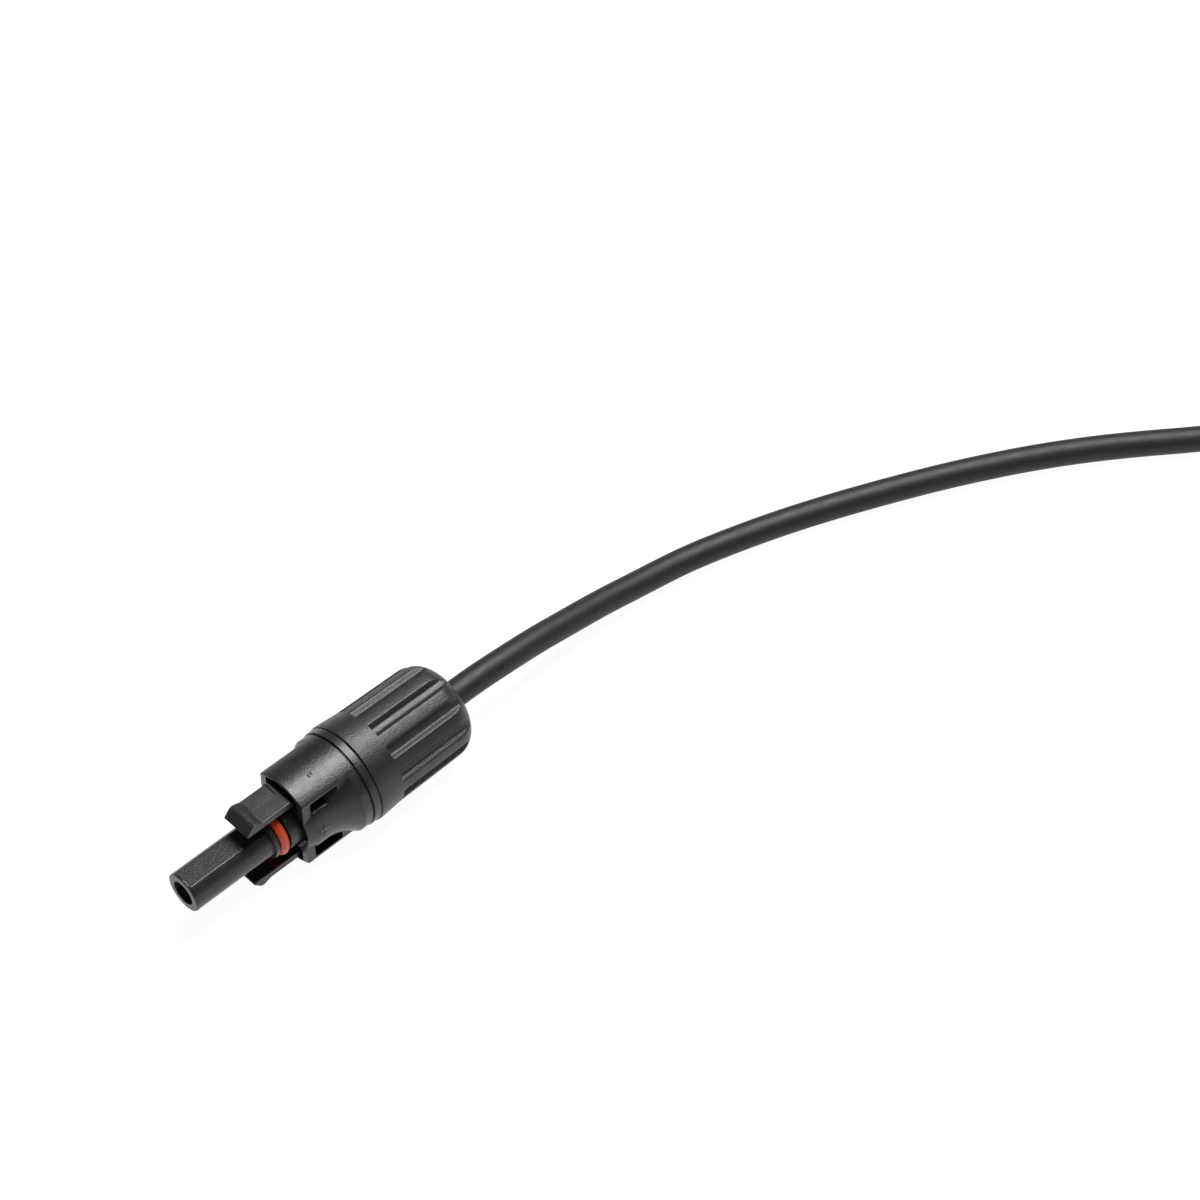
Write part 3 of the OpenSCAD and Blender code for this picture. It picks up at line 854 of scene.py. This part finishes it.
def make_arm(name, side, material, body, node):
    """Latch arm with its hook in front and a round knuckle at its root, on the +Z or -Z side."""
    outer, thinned, inner = 8.2, 7.8, 6.7
    knuckle = arc(LATCH_PIVOT, 0.9, 157.1, -123.6, 11)
    outline = fillet(
        [(-4.5, inner, 0.1), (-4.85, inner + 0.35, 0.12), (-3.45, 8.62, 0.35),
         (-2.75, 8.84, 0.5), (-1.9, 8.55, 0.3), (-1.1, outer, 0.3), (5.4, outer, 0.06),
         (5.4, thinned, 0.05)]
        + [(u, v, 0) for u, v in knuckle])
    arm = prism(name, outline, -ARM_HALF, ARM_HALF, across(side))
    # witness lines of the mould's insert
    depth = 0.035
    low_z, high_z = sorted((side * (outer - depth), side * (outer + 1)))
    for start_x, end_y in ((-1.0, 0.13), (4.62, 3.4)):
        line = box("line", (start_x, 0.05, low_z), (4.7, end_y, high_z))
        combine(arm, "DIFFERENCE", line)
    finish_surface(arm, 0.13)
    dress(arm, body, material, "housing_plastic", node)


# ---- seal ring ---------------------------------------------------------------------------------


def make_o_ring(material):
    """Round seal ring in its groove behind the nose's shoulder."""
    section = arc((4.27, 2.125), 0.97, 0, 360, 28)[:-1]
    ring = lathe("seal_ring", section, np.arange(0, 360, 3.0))
    finish_surface(ring)
    dress(ring, "connector", material, "o_ring_rubber", "nose_o_ring")


# ---- cap nut -----------------------------------------------------------------------------------

NUT_R, WAIST_R, TAIL_R, TAIL_ROUND = 10.4, 10.05, 9.85, 4.7
FLUTE_X, TAIL_X, NUT_END = 26.1, 41.0, 45.7
NUT_BORE = 8.6
FLUTES, FLUTE_DEPTH, FLUTE_FLOOR_HALF = 12, 0.9, 0.6
FLUTE_TURN = 17.5  # angle of the first flute
WALL_LEAN = 1.0  # how much a flute widens for each millimetre of height


def outer_radius(x):
    """Radius of the nut's ridges, from its front face to where its tail rounds off."""
    return np.interp(x, (NUT_X + 1, FLUTE_X, TAIL_X), (NUT_R, WAIST_R, TAIL_R))


def flute_radius(x, off):
    """Radius of a flute's floor and walls, at that angle off its middle."""
    floor = outer_radius(x) - FLUTE_DEPTH
    on_floor = floor / np.cos(off)
    on_wall = (WALL_LEAN * floor - FLUTE_FLOOR_HALF) / (WALL_LEAN * np.cos(off) - np.sin(off))
    return soft_max(on_floor, on_wall, 0.14)


def soft_min(a, b, k):
    """The lesser of a and b, rounded over where they are within k of each other."""
    h = np.maximum(k - np.abs(a - b), 0) / k
    return np.minimum(a, b) - h * h * k / 4


def soft_max(a, b, k):
    return -soft_min(-a, -b, k)


def nut_shape(x, r, a):
    """The flutes outside, which start sharply at FLUTE_X, and the thread inside."""
    pitch = 2 * np.pi / FLUTES
    off = np.abs(((a - np.radians(FLUTE_TURN)) / pitch + 0.5) % 1 - 0.5) * pitch
    outside = (r > 5.6) & (x > FLUTE_X - 0.2) & ((r > 8.4) | (x > TAIL_X))
    start = np.clip((x - FLUTE_X + 0.07) / 0.14, 0, 1)
    start = start * start * (3 - 2 * start)
    cut = soft_min(r, flute_radius(x, off), 0.2)
    r = np.where(outside, r + (cut - r) * start, r)
    inside = (np.abs(r - NUT_BORE) < 0.02) & (x > 21.4) & (x < 33.4)
    r = np.where(inside, NUT_BORE + THREAD_RISE * np.cos(2 * np.pi * x / THREAD_PITCH + a), r)
    return x, r * np.sin(a), r * np.cos(a)


def make_nut(material):
    """Cap nut of the gland: fluted outside, threaded inside, with a rounded tail."""
    # rows close together where the flutes start
    steps = (-4.6, -3, -1, -0.2, -0.08, -0.04, 0, 0.04, 0.08, 0.2, 0.7)
    outer_rows = [FLUTE_X + step for step in steps]
    outer_rows += list(np.linspace(27.8, TAIL_X - 0.6, 14))
    profile = [(8.85, NUT_X, 0.1), (NUT_R, NUT_X, 0.22)]
    profile += [(float(outer_radius(x)), x, 0) for x in outer_rows]
    profile += [(*p, 0) for p in arc((TAIL_R - TAIL_ROUND, TAIL_X), TAIL_ROUND, 0, 90, 12)]
    profile += [(3.75, NUT_END, 0.3), (3.2, NUT_END - 0.5, 0.2), (3.2, 40.8, 0),
                (5.25, 40.8, 0), (7.0, 34.0, 0), (NUT_BORE, 34.0, 0)]
    profile += [(NUT_BORE, x, 0) for x in np.arange(33.4, 21.2, -THREAD_PITCH / 8)]
    # columns of one flute, in degrees off its middle, closest together at its walls
    half = [2, 3.8, 4.4, 5.0, 5.7, 6.4, 7.1, 7.7, 8.2, 8.7, 9.2, 10.2, 12, 15]
    one = [-d for d in half[::-1]] + [0] + half[:-1]
    angles = [FLUTE_TURN + 360 // FLUTES * i + d for i in range(FLUTES) for d in one]
    nut = lathe("gland_nut", fillet(profile), angles, nut_shape)
    finish_surface(nut)
    dress(nut, "nut", material, "nut_plastic", "cap_nut")


# ---- put together --------------------------------------------------------------------------------

make_camera()
make_stage()

BLACK = (0.012, 0.012, 0.0125)
materials = {
    "housing": moulded("plastic_housing", BLACK, (0.017, 0.017, 0.017), 0.33, 0.42, 0.06),
    "arm": moulded("plastic_arm", BLACK, (0.018, 0.018, 0.018), 0.36, 0.36, 0.03),
    "nut": moulded("plastic_nut", (0.014, 0.014, 0.014), (0.020, 0.020, 0.019), 0.41, 0.42, 0.065),
    "tie": moulded("plastic_tie", (0.016, 0.016, 0.017), (0.022, 0.022, 0.022), 0.38, 0.4, 0.006),
    "cage": moulded("plastic_cage", (0.25, 0.25, 0.25), (0.31, 0.31, 0.30), 0.45, 0.3, 0.008),
    "o_ring": o_ring_rubber(),
    "sheath": sheath_rubber(True),
    "gland_sheath": sheath_rubber(False),
    "contact": metal(
        "tin_plated", (0.62, 0.61, 0.58), (0.76, 0.75, 0.72), 0.34, 0.3, 0.004, (6, 1, 1)),
    "spring": metal("spring_alloy", (0.62, 0.42, 0.18), (0.75, 0.54, 0.26), 0.28, 0.3, 0.003),
    "steel": metal("clip_steel", (0.52, 0.52, 0.54), (0.64, 0.64, 0.66), 0.3, 0.2, 0.003),
    "conductor": metal("tinned_strands", (0.60, 0.60, 0.60), (0.78, 0.78, 0.77), 0.3, 0.5, 0.004),
    "core": rubber("core_insulation", (0.60, 0.58, 0.52), (0.68, 0.66, 0.60), 0.5),
    "seal": rubber("seal_rubber", (0.09, 0.09, 0.10), (0.13, 0.13, 0.14), 0.55),
}

make_cable(materials)
make_housing(materials["housing"])
make_arm("latch_arm_top", 1, materials["arm"], "upper_latch", "latch_arm_upper")
make_arm("latch_arm_bottom", -1, materials["arm"], "lower_latch", "latch_arm_lower")
make_o_ring(materials["o_ring"])
make_nut(materials["nut"])

for node, key in (
    ("contact_socket", "contact"), ("contact_spring_insert", "spring"),
    ("contact_retainer_clip", "steel"), ("crimped_conductor", "conductor"),
    ("core_insulation", "core"), ("sheath_in_gland", "gland_sheath"),
    ("cable_seal", "seal"), ("clamp_cage", "cage"),
):
    nodes[node].data.materials.clear()
    nodes[node].data.materials.append(materials[key])
